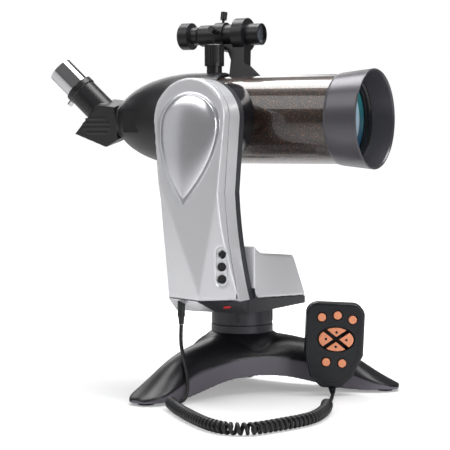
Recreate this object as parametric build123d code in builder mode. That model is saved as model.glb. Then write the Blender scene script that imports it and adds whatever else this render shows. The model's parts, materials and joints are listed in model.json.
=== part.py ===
"""Tabletop telescope: a short mirror-lens tube on a motorised one-arm mount, with a three-legged base and a
handset on a curly cord.

Millimetres, +Z up. The origin is the point of the table under the azimuth axis. +X is the way the tube
points, and the arm stands on the -Y side of the tube.
"""

from build123d import *

import os
from math import acos, asin, cos, degrees, radians, sin, tan

os.makedirs("parts", exist_ok=True)

# ---- driving dimensions ----
AXIS_Z = 321.0  # altitude axis above the table
TUBE_R = 52.0  # optical tube, outside
WALL = 2.0  # tube wall
TUBE_REAR_X = -24.0
TUBE_FRONT_X = 134.0
SHADE_FRONT_X = 173.0
SHADE_REAR_R = 53.0
SHADE_FRONT_R = 58.0
REAR_R = 57.0  # rear housing at its widest
REAR_CENTRE_X = -60.0  # where the rear housing starts to close
REAR_LENGTH = 112.0  # half axis of its elliptical outline
REAR_END_X = -161.0
REAR_MOUTH_R = 24.6

LEG_ANGLES = (19.0, 139.0, 259.0)
LEG_SPLAY = 172.0  # foot pad from the azimuth axis
HUB_TOP = 68.0
PAD_H = 3.0

RING_R = 37.0
RING_SPLIT_Z = 77.0
BEARING_H = 1.0
FLOOR_Z = 100.0  # underside of the turning head
FRAME_TOP_Z = 116.0  # top of the head's dark lower frame
SHEET = 3.0
SPINDLE_R = 8.0
RUNNING = 0.05  # radial clearance of a running fit

HEAD_REAR_X = -34.0
HEAD_FRONT_X = 60.0
HEAD_END_Y = 57.0
PLATE_INNER_Y = -82.0
PLATE_OUTER_Y = -93.0
BAND_OUTER_Y = -116.0
ARM_R = 46.0
DRUM_R = 43.0
AXLE_R = 10.0
CHIN_INNER_Y = -98.0

WORM_R = 5.0
AZ_WHEEL_R = 28.0
AZ_WHEEL_Z = 113.0

ROLL = 12.0  # the diagonal is turned this far towards the arm
BARREL_R = 15.875  # 1.25 inch eyepiece barrel
EYE_CROSS_X = -185.0  # where the eyepiece axis meets the tube axis

FINDER_ROLL = 12.3  # the finder is turned this far away from the arm
FINDER_REACH = 105.6  # finder axis from the tube axis
FOCUS_X = -38.0
PINION_R = 3.0

CORD_D = 4.5
COIL_D = 14.0


# ---- planes and repeated shapes ----
def facing_x(x, y=0.0, z=AXIS_Z):
    """A plane across the tube: local x is +Y, local y is +Z, and it looks along +X."""
    return Plane(origin=(x, y, z), x_dir=(0, 1, 0), z_dir=(1, 0, 0))


def facing_y(y, x=0.0, z=0.0):
    """An upright plane along the tube: local x is +X, local y is +Z, and it looks along -Y."""
    return Plane(origin=(x, y, z), x_dir=(1, 0, 0), z_dir=(0, -1, 0))


def level(z, x=0.0, y=0.0):
    return Plane(origin=(x, y, z))


def rod(plane, radius, length, mode=Mode.ADD):
    with BuildSketch(plane) as face:
        Circle(radius)
    extrude(face.sketch, amount=length, mode=mode)


def ring(plane, outer, inner, length, mode=Mode.ADD):
    with BuildSketch(plane) as face:
        Circle(outer)
        Circle(inner, mode=Mode.SUBTRACT)
    extrude(face.sketch, amount=length, mode=mode)


def block(plane, width, height, length, mode=Mode.ADD):
    with BuildSketch(plane) as face:
        Rectangle(width, height)
    extrude(face.sketch, amount=length, mode=mode)


def turned(plane, axis, points, mode=Mode.ADD):
    """A body of revolution from a closed outline of straight lines."""
    with BuildSketch(plane) as face:
        with BuildLine():
            Polyline(*points, close=True)
        make_face()
    revolve(face.sketch, axis=axis, mode=mode)


def polygon(plane, points, length, mode=Mode.ADD):
    with BuildSketch(plane) as face:
        with BuildLine():
            Polyline(*points, close=True)
        make_face()
    extrude(face.sketch, amount=length, mode=mode)


TUBE_AXIS = Axis((0, 0, AXIS_Z), (1, 0, 0))
TUBE_SIDE = facing_y(0, 0, AXIS_Z)  # a half section of the tube: local x is X, local y the radius

# ---- tripod: hub and three legs in one moulding ----
# along the leg: distance from the axis, half width, underside, crease of the side band, crown
LEG_SECTIONS = (
    (8, 49, 21, 45, 66),
    (30, 50, 21, 44, 66),
    (60, 35, 18, 40, 63),
    (90, 27, 11, 33, 57),
    (125, 24, 4, 24, 45),
    (155, 25, 3, 15, 27),
    (177, 20, 3, 9, 14),
    (189, 9, 3, 6, 8),
)
LEG_WALL = 4.0
HOLLOW_END = 156.0


def leg_section(reach, half, under, crease, crown):
    """One upright section across a leg: flat underside, vertical side bands and an arched top."""
    with BuildSketch(facing_x(reach, 0, 0)) as face:
        with BuildLine():
            Polyline((-half, crease), (-half, under), (half, under), (half, crease))
            ThreePointArc((half, crease), (0, crown), (-half, crease))
        make_face()
    return face.sketch


with BuildPart() as leg:
    loft([leg_section(*section) for section in LEG_SECTIONS])

with BuildPart() as leg_hollow:
    loft(
        [
            leg_section(reach, half - LEG_WALL, under - 4, crease - 3, crown - LEG_WALL)
            for reach, half, under, crease, crown in LEG_SECTIONS[1:6]
        ]
    )

with BuildPart() as tripod:
    with BuildSketch(Plane.XZ):
        with BuildLine():
            Polyline((37, HUB_TOP), (0, HUB_TOP), (0, 20.7), (51.7, 20.7), (54, 45))
            ThreePointArc((54, 45), (47.5, 58.5), (37, HUB_TOP))
        make_face()
    revolve(axis=Axis.Z)
    for leg_angle in LEG_ANGLES:
        add(leg.part, rotation=(0, 0, leg_angle))
    for leg_angle in LEG_ANGLES:
        add(leg_hollow.part, rotation=(0, 0, leg_angle), mode=Mode.SUBTRACT)
    rod(level(10), 5.2, 70, mode=Mode.SUBTRACT)
    rod(level(2), 15, 19, mode=Mode.SUBTRACT)
tripod.part.label = "tripod_body"
export_step(tripod.part, "parts/tripod_body.step")


with BuildPart() as feet:
    for leg_angle in LEG_ANGLES:
        foot_x = LEG_SPLAY * cos(radians(leg_angle))
        foot_y = LEG_SPLAY * sin(radians(leg_angle))
        rod(level(0, foot_x, foot_y), 9, PAD_H)
feet.part.label = "rubber_feet"
export_step(feet.part, "parts/rubber_feet.step")

with BuildPart() as clamp_bolt:
    rod(level(12), 14, 9)
    rod(level(21), 5, 51)
    with PolarLocations(14, 12):
        Cylinder(1.6, 30, mode=Mode.SUBTRACT)
clamp_bolt.part.label = "clamp_bolt"
export_step(clamp_bolt.part, "parts/clamp_bolt.step")

# ---- azimuth bearing ----
with BuildPart() as base_ring:
    ring(level(HUB_TOP), RING_R, 5.2, RING_SPLIT_Z - HUB_TOP)
    chamfer(base_ring.edges().group_by(Axis.Z)[-1].sort_by(SortBy.LENGTH)[-1], 0.6)
    ring(level(RING_SPLIT_Z), RING_R - 2, 24, BEARING_H - RUNNING)
base_ring.part.label = "azimuth_base_ring"
export_step(base_ring.part, "parts/azimuth_base_ring.step")

with BuildPart() as spindle:
    rod(level(RING_SPLIT_Z), 18, 3)
    rod(level(RING_SPLIT_Z), SPINDLE_R, 51)
spindle.part.label = "azimuth_spindle"
export_step(spindle.part, "parts/azimuth_spindle.step")

TOP_RING_Z = RING_SPLIT_Z + BEARING_H
BUSH_R = 12.0
INDEX_ANGLE = -70.0
with BuildPart() as top_ring:
    ring(level(TOP_RING_Z), RING_R - 0.4, 22, FLOOR_Z - TOP_RING_Z)
    ring(level(FLOOR_Z - 5), 23, SPINDLE_R + RUNNING, 5)
    ring(level(FLOOR_Z), BUSH_R, SPINDLE_R + RUNNING, 6)
    with PolarLocations(RING_R, 1, start_angle=INDEX_ANGLE):
        Box(4, 5, 2 * FLOOR_Z, mode=Mode.SUBTRACT)
    with PolarLocations(RING_R - 0.8, 7, start_angle=-8, angular_range=36, endpoint=True):
        Cylinder(0.8, FLOOR_Z - 4, align=(Align.CENTER, Align.CENTER, Align.MIN))
    block(level(0), 200, 200, TOP_RING_Z + 3, mode=Mode.SUBTRACT)
    ring(level(TOP_RING_Z), RING_R - 0.4, 22, 4)
top_ring.part.label = "azimuth_top_ring"
export_step(top_ring.part, "parts/azimuth_top_ring.step")

with BuildPart() as azimuth_wheel:
    ring(level(AZ_WHEEL_Z), AZ_WHEEL_R, SPINDLE_R, 6)
    ring(level(AZ_WHEEL_Z - 5), 13, SPINDLE_R, 5)
azimuth_wheel.part.label = "azimuth_worm_wheel"
export_step(azimuth_wheel.part, "parts/azimuth_worm_wheel.step")

with BuildPart() as spindle_nut:
    with BuildSketch(level(AZ_WHEEL_Z + 6)):
        RegularPolygon(12, 6)
        Circle(SPINDLE_R, mode=Mode.SUBTRACT)
    extrude(amount=6)
spindle_nut.part.label = "spindle_nut"
export_step(spindle_nut.part, "parts/spindle_nut.step")

# ---- turning head: lower frame and arm ----
COVER_DROP = 8.0  # the frame's rim falls this much towards its far end


def arm_outline(y, inset=0.0):
    """The arm seen from its side: round head, slim waist, and a foot that flares forwards."""
    rear, front = -ARM_R + inset, ARM_R - inset
    with BuildSketch(facing_y(y)) as face:
        with BuildLine():
            Polyline((-34 + inset, FRAME_TOP_Z + inset), (-36 + inset, 229), (rear, AXIS_Z))
            ThreePointArc((rear, AXIS_Z), (0, AXIS_Z + front), (front, AXIS_Z))
            Line((front, AXIS_Z), (40 - inset, 238))
            foot = ThreePointArc((40 - inset, 238), (48.5 - inset, 163), (59 - inset, FRAME_TOP_Z + inset))
            Line(foot @ 1, (-34 + inset, FRAME_TOP_Z + inset))
        make_face()
    return face.sketch


def rim_line(y):
    """Height of the lower frame's rim at a distance along the head."""
    return FRAME_TOP_Z - COVER_DROP * (y - PLATE_INNER_Y) / (HEAD_END_Y - PLATE_INNER_Y)


BOARD_POSTS = ((-14, 136), (22, 136), (4, 200))
FRAME_MID_X = (HEAD_REAR_X + HEAD_FRONT_X) / 2
FRAME_LENGTH = HEAD_FRONT_X - HEAD_REAR_X
with BuildPart() as head_frame:
    block(
        level(FLOOR_Z, FRAME_MID_X, (CHIN_INNER_Y + HEAD_END_Y) / 2),
        FRAME_LENGTH,
        HEAD_END_Y - CHIN_INNER_Y,
        FRAME_TOP_Z - FLOOR_Z,
    )
    fillet(head_frame.edges().filter_by(Axis.Z).group_by(Axis.Y)[-1], 9)
    block(
        level(FLOOR_Z + SHEET, FRAME_MID_X, (PLATE_INNER_Y + HEAD_END_Y - SHEET) / 2),
        FRAME_LENGTH - 2 * SHEET,
        HEAD_END_Y - PLATE_INNER_Y - SHEET,
        FRAME_TOP_Z,
        mode=Mode.SUBTRACT,
    )
    polygon(
        facing_x(HEAD_REAR_X - 1),
        [(PLATE_INNER_Y, -205), (HEAD_END_Y, -213), (HEAD_END_Y, -200), (PLATE_INNER_Y, -200)],
        FRAME_LENGTH + 2,
        mode=Mode.SUBTRACT,
    )
    extrude(arm_outline(PLATE_INNER_Y), amount=PLATE_INNER_Y - PLATE_OUTER_Y)
    extrude(arm_outline(PLATE_INNER_Y - 4, 4), amount=20, mode=Mode.SUBTRACT)
    with BuildSketch(facing_x(HEAD_FRONT_X - 7)):
        with BuildLine():
            corner_arc = ThreePointArc((PLATE_INNER_Y, -193), (PLATE_INNER_Y + 3.5, -201.5), (-70, -205.5))
            Polyline(corner_arc @ 1, (PLATE_INNER_Y, -206), corner_arc @ 0)
        make_face()
    extrude(amount=7)
    rod(facing_y(PLATE_INNER_Y + 1, 0, AXIS_Z), 14, 20, mode=Mode.SUBTRACT)
    ring(facing_y(PLATE_INNER_Y, 0, AXIS_Z), 20, 14, 11)
    rod(level(FLOOR_Z - 1), BUSH_R, 10, mode=Mode.SUBTRACT)
    for post_x, post_z in BOARD_POSTS:
        rod(facing_y(PLATE_INNER_Y - 4, post_x, post_z), 2.5, 10)
head_frame.part.label = "head_frame"
export_step(head_frame.part, "parts/head_frame.step")


def cover_section(x, inset, floor):
    """The base cover across the head: a slanted far end, a gently falling top and a sweep up to the arm."""
    left, far = PLATE_INNER_Y + 0.3 + inset, HEAD_END_Y - 3 - 1.4 * inset
    with BuildSketch(facing_x(x, 0, 0)) as face:
        with BuildLine():
            sweep_up = TangentArc((left, 177 - inset), (-57, 166.5 - inset), tangent=(1, -0.9))
            Polyline(sweep_up @ 1, (19 - 0.7 * inset, 160 - inset), (far, rim_line(far) + 0.3 - floor))
            Line((far, rim_line(far) + 0.3 - floor), (left, FRAME_TOP_Z + 0.3 - floor))
            Line((left, FRAME_TOP_Z + 0.3 - floor), sweep_up @ 0)
        make_face()
    return face.sketch


with BuildPart() as base_cover:
    extrude(cover_section(HEAD_REAR_X + 0.5, 0, 0), amount=FRAME_LENGTH - 1)
    rounded = base_cover.edges().filter_by(Axis.X).filter_by_position(Axis.Y, 15, 23)
    fillet(rounded, 7)
    extrude(cover_section(HEAD_REAR_X + 3.5, 2.5, 6), amount=FRAME_LENGTH - 7, mode=Mode.SUBTRACT)
    with BuildSketch(facing_x(HEAD_FRONT_X - 8, 0, 0)):
        with BuildLine():
            arc = ThreePointArc((PLATE_INNER_Y, 129), (PLATE_INNER_Y + 4, 119.7), (-69, 115.6))
            Polyline(arc @ 1, (PLATE_INNER_Y, 114), arc @ 0)
        make_face()
    extrude(amount=9, mode=Mode.SUBTRACT)
base_cover.part.label = "base_cover"
export_step(base_cover.part, "parts/base_cover.step")

with BuildPart() as arm_band:
    extrude(arm_outline(PLATE_OUTER_Y - 0.2), amount=22.8)
    extrude(arm_outline(PLATE_OUTER_Y - 0.1, SHEET), amount=23, mode=Mode.SUBTRACT)
arm_band.part.label = "arm_side_band"
export_step(arm_band.part, "parts/arm_side_band.step")


def through(a, b, c):
    """The plane through three points, looking away from the tube."""
    first, second, third = Vector(*a), Vector(*b), Vector(*c)
    normal = (second - first).cross(third - first)
    if normal.Y > 0:
        normal = normal * -1
    return Plane(origin=first, z_dir=normal)


LEAN = 0.0538  # the arm's outer face leans out by this much per millimetre downwards
OUTER_FACE = Plane(origin=(0, -130, AXIS_Z), x_dir=(1, 0, 0), z_dir=(0, -1, LEAN))
REAR_FACET = through((-38, -133.7, 252), (13, -140, 135), (-34, -117, FRAME_TOP_Z))
FRONT_FACET = through((40, -133.7, 247), (21, -140, 135), (56, -117, 126))


def arm_face(start, inset):
    """The arm's outer cover as a solid: the outline cut back to a leaning face and two lower facets."""
    extrude(arm_outline(start, inset), amount=30)
    for cut in (OUTER_FACE, REAR_FACET, FRONT_FACET):
        split(bisect_by=cut.offset(-inset), keep=Keep.BOTTOM)


with BuildPart() as arm_pocket:
    arm_face(BAND_OUTER_Y, SHEET)


def toward(centre, reach, angle):
    return (centre[0] + reach * cos(angle), centre[1] + reach * sin(angle))


def teardrop(plane, big, small):
    """A teardrop around the altitude axis with its point down the arm: two arcs and their shared tangents."""
    head, tip = (0.0, -10.0), (-1.0, -92.0 + small)
    span = ((tip[0] - head[0]) ** 2 + (tip[1] - head[1]) ** 2) ** 0.5
    down = radians(270) - asin((head[0] - tip[0]) / span)
    spread = acos((big - small) / span)
    with BuildSketch(plane) as face:
        with BuildLine():
            crown = ThreePointArc(
                toward(head, big, down - spread),
                toward(head, big, down + radians(180)),
                toward(head, big, down + spread),
            )
            point = ThreePointArc(
                toward(tip, small, down + spread),
                toward(tip, small, down),
                toward(tip, small, down - spread),
            )
            Line(crown @ 1, point @ 0)
            Line(point @ 1, crown @ 0)
        make_face()
    return face.sketch


def laid_on(plane, x, z):
    """A plane laid on another one where that one has this x and z, its local x towards +X."""
    probe = Vector(x, 0, z)
    spot = probe - Vector(0, (probe - plane.origin).dot(plane.z_dir) / plane.z_dir.Y, 0)
    side = Vector(1, 0, 0) - plane.z_dir * plane.z_dir.X
    return Plane(origin=spot, x_dir=side, z_dir=plane.z_dir)


JACK_SPOT = laid_on(FRONT_FACET, 41.8, 155)
JACK_PITCH = 14.0
with BuildPart() as arm_cover:
    arm_face(BAND_OUTER_Y - 0.2, 0)
    add(arm_pocket.part, mode=Mode.SUBTRACT)
    extrude(teardrop(OUTER_FACE, 40.5, 6.5), amount=-1.5, mode=Mode.SUBTRACT)
    with BuildSketch(JACK_SPOT):
        SlotOverall(44, 12, rotation=90)
    extrude(amount=-2.2, mode=Mode.SUBTRACT)
arm_cover.part.label = "arm_outer_cover"
export_step(arm_cover.part, "parts/arm_outer_cover.step")

with BuildPart() as drive_cover:
    extrude(teardrop(OUTER_FACE.offset(-1.3), 40, 6), amount=9)
    chamfer(drive_cover.faces().sort_by(Axis.Y)[0].edges(), 2.5)
drive_cover.part.label = "altitude_drive_cover"
export_step(drive_cover.part, "parts/altitude_drive_cover.step")

with BuildPart() as jack_panel:
    with BuildSketch(JACK_SPOT.offset(-2.1)):
        SlotOverall(43.4, 11.4, rotation=90)
    extrude(amount=1.2)
    with BuildSketch(JACK_SPOT.offset(-0.9)):
        with GridLocations(1, JACK_PITCH, 1, 3):
            Circle(5)
            Circle(3.2, mode=Mode.SUBTRACT)
    extrude(amount=1.6)
jack_panel.part.label = "jack_panel"
export_step(jack_panel.part, "parts/jack_panel.step")

# ---- head: chin panels, socket and switch under the arm ----
RIDGE_X = 17.0  # lowest corner of the arm's outer cover
RIDGE_Y = -139.0


def chin_section(x, y):
    """The triangle between the arm's foot and the frame's floor, across the head."""
    with BuildSketch(facing_x(x, 0, 0)) as face:
        with BuildLine():
            Polyline(
                (y, FRAME_TOP_Z - 0.3),
                (CHIN_INNER_Y - 0.3, FLOOR_Z + 0.3),
                (CHIN_INNER_Y - 0.3, FRAME_TOP_Z - 0.3),
                close=True,
            )
        make_face()
    return face.sketch


SOCKET_X = -18.0
SOCKET_Y = -115.0
SWITCH_X = 41.0
with BuildPart() as port_panel:
    loft([chin_section(HEAD_REAR_X, BAND_OUTER_Y - 1), chin_section(RIDGE_X - 0.3, RIDGE_Y)])
    rod(level(FLOOR_Z, SOCKET_X, SOCKET_Y), 4.6, FRAME_TOP_Z - FLOOR_Z - 2, mode=Mode.SUBTRACT)
port_panel.part.label = "port_panel"
export_step(port_panel.part, "parts/port_panel.step")

CHIN_FACE = through((RIDGE_X, RIDGE_Y, 115.7), (59.5, -117, 115.7), (38, -98.3, 100.3))
SWITCH_SPOT = laid_on(CHIN_FACE, SWITCH_X, 108.5)
with BuildPart() as chin_panel:
    loft([chin_section(RIDGE_X, RIDGE_Y), chin_section(HEAD_FRONT_X - 0.5, BAND_OUTER_Y - 1)])
    with BuildSketch(SWITCH_SPOT.offset(4)):
        Ellipse(5.2, 3.2)
    extrude(amount=-9, mode=Mode.SUBTRACT)
chin_panel.part.label = "chin_panel"
export_step(chin_panel.part, "parts/chin_panel.step")

with BuildPart() as power_button:
    with BuildSketch(SWITCH_SPOT.offset(-3.5)):
        Ellipse(4.9, 2.9)
    extrude(amount=4.7)
    chamfer(power_button.edges().sort_by_distance(SWITCH_SPOT.offset(5).origin)[0], 0.5)
power_button.part.label = "power_button"
export_step(power_button.part, "parts/power_button.step")

# ---- head: drives, electronics and screws ----
with BuildPart() as altitude_bush:
    ring(facing_y(PLATE_INNER_Y, 0, AXIS_Z), 14, AXLE_R + RUNNING, 11)
altitude_bush.part.label = "altitude_bush"
export_step(altitude_bush.part, "parts/altitude_bush.step")

DRIVE_Y = -101.0
ALT_WHEEL_R = 20.0
ALT_WORM_X = -(ALT_WHEEL_R + WORM_R + RUNNING)
with BuildPart() as altitude_worm:
    rod(level(AXIS_Z - 13, ALT_WORM_X, DRIVE_Y), WORM_R, 26)
    rod(level(AXIS_Z - 19, ALT_WORM_X, DRIVE_Y), 1.5, 6)
altitude_worm.part.label = "altitude_worm"
export_step(altitude_worm.part, "parts/altitude_worm.step")

with BuildPart() as altitude_motor:
    rod(level(AXIS_Z - 59, ALT_WORM_X, DRIVE_Y), 10, 40)
altitude_motor.part.label = "altitude_motor"
export_step(altitude_motor.part, "parts/altitude_motor.step")

AZ_WORM_Y = AZ_WHEEL_R + WORM_R + RUNNING
AZ_WORM_Z = AZ_WHEEL_Z + 3
with BuildPart() as azimuth_worm:
    rod(facing_x(-12, AZ_WORM_Y, AZ_WORM_Z), WORM_R, 24)
    rod(facing_x(12, AZ_WORM_Y, AZ_WORM_Z), 1.5, 4)
azimuth_worm.part.label = "azimuth_worm"
export_step(azimuth_worm.part, "parts/azimuth_worm.step")

with BuildPart() as azimuth_motor:
    rod(facing_x(16, AZ_WORM_Y, AZ_WORM_Z), 8, 38)
azimuth_motor.part.label = "azimuth_motor"
export_step(azimuth_motor.part, "parts/azimuth_motor.step")

TRAY_X, TRAY_Y, TRAY_Z = 12.0, -32.0, 131.0
with BuildPart() as battery_tray:
    block(level(TRAY_Z, TRAY_X, TRAY_Y), 78, 56, 12)
    block(level(TRAY_Z + 1.5, TRAY_X, TRAY_Y), 74, 52, 12, mode=Mode.SUBTRACT)
    for post_x, post_y in ((-24, -57), (48, -57), (48, -7)):
        rod(level(FLOOR_Z + SHEET, post_x, post_y), 2.5, TRAY_Z - FLOOR_Z - SHEET)
battery_tray.part.label = "battery_tray"
export_step(battery_tray.part, "parts/battery_tray.step")

with BuildPart() as circuit_board:
    block(facing_y(-96, 4, 168), 46, 76, 1.6)
    block(facing_y(-97.6, 4, 175), 18, 18, 2)
    block(facing_y(-97.6, 8, 146), 30, 7, 8)
circuit_board.part.label = "circuit_board"
export_step(circuit_board.part, "parts/circuit_board.step")

# ---- optical tube ----
with BuildPart() as drum:
    rod(facing_y(-30, 0, AXIS_Z), DRUM_R, -30 - PLATE_INNER_Y - 0.4)
    chamfer(drum.edges().group_by(Axis.Y)[0], 1.2)
    rod(facing_x(-80), TUBE_R, 160, mode=Mode.SUBTRACT)
    rod(facing_x(-80), REAR_R + 0.3, 59.8, mode=Mode.SUBTRACT)
    for notch_z in (-11, 12):
        block(facing_x(DRUM_R - 3.5, PLATE_INNER_Y + 4.5, AXIS_Z + notch_z), 3, 4.5, 10, mode=Mode.SUBTRACT)
drum.part.label = "altitude_drum"
export_step(drum.part, "parts/altitude_drum.step")

with BuildPart() as axle:
    rod(facing_y(PLATE_INNER_Y + 0.4, 0, AXIS_Z), AXLE_R, 31)
    rod(facing_y(DRIVE_Y + 3, 0, AXIS_Z), ALT_WHEEL_R, 6)
axle.part.label = "altitude_axle"
export_step(axle.part, "parts/altitude_axle.step")

with BuildPart() as main_tube:
    ring(facing_x(TUBE_REAR_X), TUBE_R, TUBE_R - WALL, TUBE_FRONT_X - TUBE_REAR_X)
main_tube.part.label = "main_tube"
export_step(main_tube.part, "parts/main_tube.step")

GLASS_R = 45.4


def dished(centre_x, sag):
    """A spherical face centred on the axis, from its centre to the rim that lies sag further forward."""
    radius = (GLASS_R**2 + sag**2) / (2 * sag)
    half_sag = radius - (radius**2 - GLASS_R**2 / 4) ** 0.5
    return ThreePointArc((centre_x, 0), (centre_x + half_sag, GLASS_R / 2), (centre_x + sag, GLASS_R))


with BuildPart() as dew_shade:
    turned(
        TUBE_SIDE,
        TUBE_AXIS,
        [
            (131, TUBE_R + 0.15),
            (131, SHADE_REAR_R),
            (134, SHADE_REAR_R + 0.8),
            (169, SHADE_FRONT_R - 0.4),
            (172, SHADE_FRONT_R),
            (SHADE_FRONT_X, SHADE_FRONT_R - 0.6),
            (SHADE_FRONT_X, SHADE_FRONT_R - 2),
            (171, SHADE_FRONT_R - 2.8),
            (147, 51.3),
            (134.3, 51.3),
            (134.3, TUBE_R + 0.15),
        ],
    )
dew_shade.part.label = "dew_shade"
export_step(dew_shade.part, "parts/dew_shade.step")

with BuildPart() as corrector_cell:
    turned(
        TUBE_SIDE,
        TUBE_AXIS,
        [
            (126, 49.8),
            (126, GLASS_R + 0.1),
            (139.4, GLASS_R + 0.1),
            (139.4, 44.2),
            (141.5, 44.2),
            (142.5, 46.6),
            (145, 47),
            (146.5, 49),
            (146.5, 51.2),
            (134.4, 51.2),
            (134.4, 49.8),
        ],
    )
corrector_cell.part.label = "corrector_cell"
export_step(corrector_cell.part, "parts/corrector_cell.step")

with BuildPart() as corrector:
    with BuildSketch(TUBE_SIDE):
        with BuildLine():
            front_curve = dished(131, 8.2)
            rear_curve = dished(123, 7)
            Line(front_curve @ 1, rear_curve @ 1)
            Line(rear_curve @ 0, front_curve @ 0)
        make_face()
    revolve(axis=TUBE_AXIS)
corrector.part.label = "corrector_lens"
export_step(corrector.part, "parts/corrector_lens.step")

with BuildPart() as secondary:
    ring(facing_x(112), 14, 12.8, 11.6)
    rod(facing_x(121.6), 12.8, 1.3)
secondary.part.label = "secondary_mirror"
export_step(secondary.part, "parts/secondary_mirror.step")


def housing_outline(long, tall, mouth_r):
    """Half outline of the rear housing: straight sides, then an ellipse closing to the rear port."""
    closing = 90 - degrees(asin(mouth_r / tall))
    with BuildSketch(TUBE_SIDE) as face:
        with BuildLine():
            bend = EllipticalCenterArc((REAR_CENTRE_X, 0), long, tall, start_angle=90, arc_size=closing)
            mouth = bend @ 1
            Polyline(mouth, (mouth.X, 0), (TUBE_REAR_X, 0), (TUBE_REAR_X, tall), bend @ 0)
        make_face()
    return face.sketch


FOCUS_BUSH_R = 9.3
with BuildPart() as rear_housing:
    revolve(housing_outline(REAR_LENGTH, REAR_R, REAR_MOUTH_R), axis=TUBE_AXIS)
    turned(
        TUBE_SIDE,
        TUBE_AXIS,
        [(TUBE_REAR_X, 40), (TUBE_REAR_X, REAR_R), (-20.5, 54.6), (-20.5, TUBE_R + 0.1), (-20.5, 40)],
    )
    with BuildSketch(facing_y(-30, 0, AXIS_Z - 2)):
        with Locations((-128, 0)):
            Rectangle(20, 26)
        with Locations((-118, 0)):
            Circle(13)
    extrude(amount=17.5)
    revolve(housing_outline(REAR_LENGTH - 8, REAR_R - 3.5, 19.1), axis=TUBE_AXIS, mode=Mode.SUBTRACT)
    rod(facing_x(-170), 19.1, 160, mode=Mode.SUBTRACT)
    rod(facing_x(TUBE_REAR_X - 1), TUBE_R + 0.1, 10, mode=Mode.SUBTRACT)
    rod(level(AXIS_Z + 40, FOCUS_X), FOCUS_BUSH_R + 0.05, 30, mode=Mode.SUBTRACT)
rear_housing.part.label = "rear_housing"
export_step(rear_housing.part, "parts/rear_housing.step")

with BuildPart() as baffle_tube:
    rod(facing_x(REAR_END_X + 0.2), 19.05, 4)
    rod(facing_x(REAR_END_X + 0.2), 13, 200)
    rod(facing_x(REAR_END_X), 11.5, 210, mode=Mode.SUBTRACT)
baffle_tube.part.label = "baffle_tube"
export_step(baffle_tube.part, "parts/baffle_tube.step")

# ---- focusing mirror, rack and knob ----
MIRROR_X = -58.0
RACK_Z = AXIS_Z + 50.25
with BuildPart() as mirror_cell:
    ring(facing_x(MIRROR_X - 8), 49.5, 13 + RUNNING, 8)
    ring(facing_x(MIRROR_X), 15, 13 + RUNNING, 16)
    block(facing_x(MIRROR_X - 8, PINION_R + RUNNING + 2, RACK_Z), 4, 4.5, 36)
mirror_cell.part.label = "mirror_cell"
export_step(mirror_cell.part, "parts/mirror_cell.step")

with BuildPart() as primary_mirror:
    with BuildSketch(TUBE_SIDE):
        with BuildLine():
            bowl = ThreePointArc((MIRROR_X + 8.5, 15.4), (MIRROR_X + 9.8, 33), (MIRROR_X + 12.5, 47.5))
            Polyline(bowl @ 1, (MIRROR_X, 47.5), (MIRROR_X, 15.4), bowl @ 0)
        make_face()
    revolve(axis=TUBE_AXIS)
primary_mirror.part.label = "primary_mirror"
export_step(primary_mirror.part, "parts/primary_mirror.step")

KNOB_R = 11.85
with BuildPart() as focus_knob:
    rod(level(AXIS_Z + 48.2, FOCUS_X), PINION_R, 6)
    rod(level(AXIS_Z + 53.4, FOCUS_X), FOCUS_BUSH_R, 12)
    rod(level(AXIS_Z + 65, FOCUS_X), KNOB_R, 26)
    chamfer(focus_knob.edges().group_by(Axis.Z)[-1], 1)
    with Locations((FOCUS_X, 0, AXIS_Z + 79)):
        with PolarLocations(KNOB_R + 0.3, 24):
            Cylinder(0.8, 20, mode=Mode.SUBTRACT)
focus_knob.part.label = "focus_knob"
export_step(focus_knob.part, "parts/focus_knob.step")

# ---- star diagonal and eyepiece, turned towards the arm ----
ROLL_SIN, ROLL_COS = sin(radians(ROLL)), cos(radians(ROLL))
ROLLED = Plane(origin=(0, 0, AXIS_Z), x_dir=(1, 0, 0), z_dir=(0, -ROLL_COS, -ROLL_SIN))
SLANT = 0.5 ** 0.5
EYE_DIR = ROLLED.x_dir * -SLANT + ROLLED.y_dir * SLANT
EYE_CROSS = Vector(EYE_CROSS_X, 0, AXIS_Z)
SCREW_DIR = ROLLED.x_dir * -SLANT - ROLLED.y_dir * SLANT


def along_eyepiece(reach):
    """A plane across the eyepiece axis, this far from where that axis meets the tube's."""
    return Plane(origin=EYE_CROSS + EYE_DIR * reach, x_dir=ROLLED.z_dir, z_dir=EYE_DIR)


DIAGONAL_OUTLINE = [(-166, -20), (-185, -29.5), (-229, -12.6), (-212, 4), (-190, 24), (-166, 21)]
PRISM_OUTLINE = [(-171, -13), (-186, -22), (-213, -12), (-204, -2), (-190, 12), (-171, 12)]
DIAGONAL_CAVITY = [(-169, -16), (-186, -25.5), (-219, -12.5), (-205, 4), (-190, 18), (-169, 17)]
DIAGONAL_HALF = 20.0
with BuildPart() as diagonal:
    polygon(ROLLED.offset(-DIAGONAL_HALF), DIAGONAL_OUTLINE, 2 * DIAGONAL_HALF)
    rod(facing_x(-166), 21, 4.7)
    rod(facing_x(-162), 11.5 - RUNNING, 10)
    rod(along_eyepiece(15), 18.25, 38)
    rod(along_eyepiece(53), 19.25, 8)
    for rib in (-9, -3, 3, 9):
        with BuildSketch(ROLLED.offset(DIAGONAL_HALF)):
            with Locations((-196, rib - 2)):
                Rectangle(44 - 1.6 * abs(rib), 1.6)
        extrude(amount=0.8)
    polygon(ROLLED.offset(-DIAGONAL_HALF + 3), DIAGONAL_CAVITY, 2 * DIAGONAL_HALF - 6, mode=Mode.SUBTRACT)
    rod(facing_x(-172), 9.5, 25, mode=Mode.SUBTRACT)
    rod(along_eyepiece(10), BARREL_R + RUNNING, 60, mode=Mode.SUBTRACT)
    rod(Plane(origin=along_eyepiece(57).origin, z_dir=SCREW_DIR), 1.6, 30, mode=Mode.SUBTRACT)
diagonal.part.label = "diagonal_housing"
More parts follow.
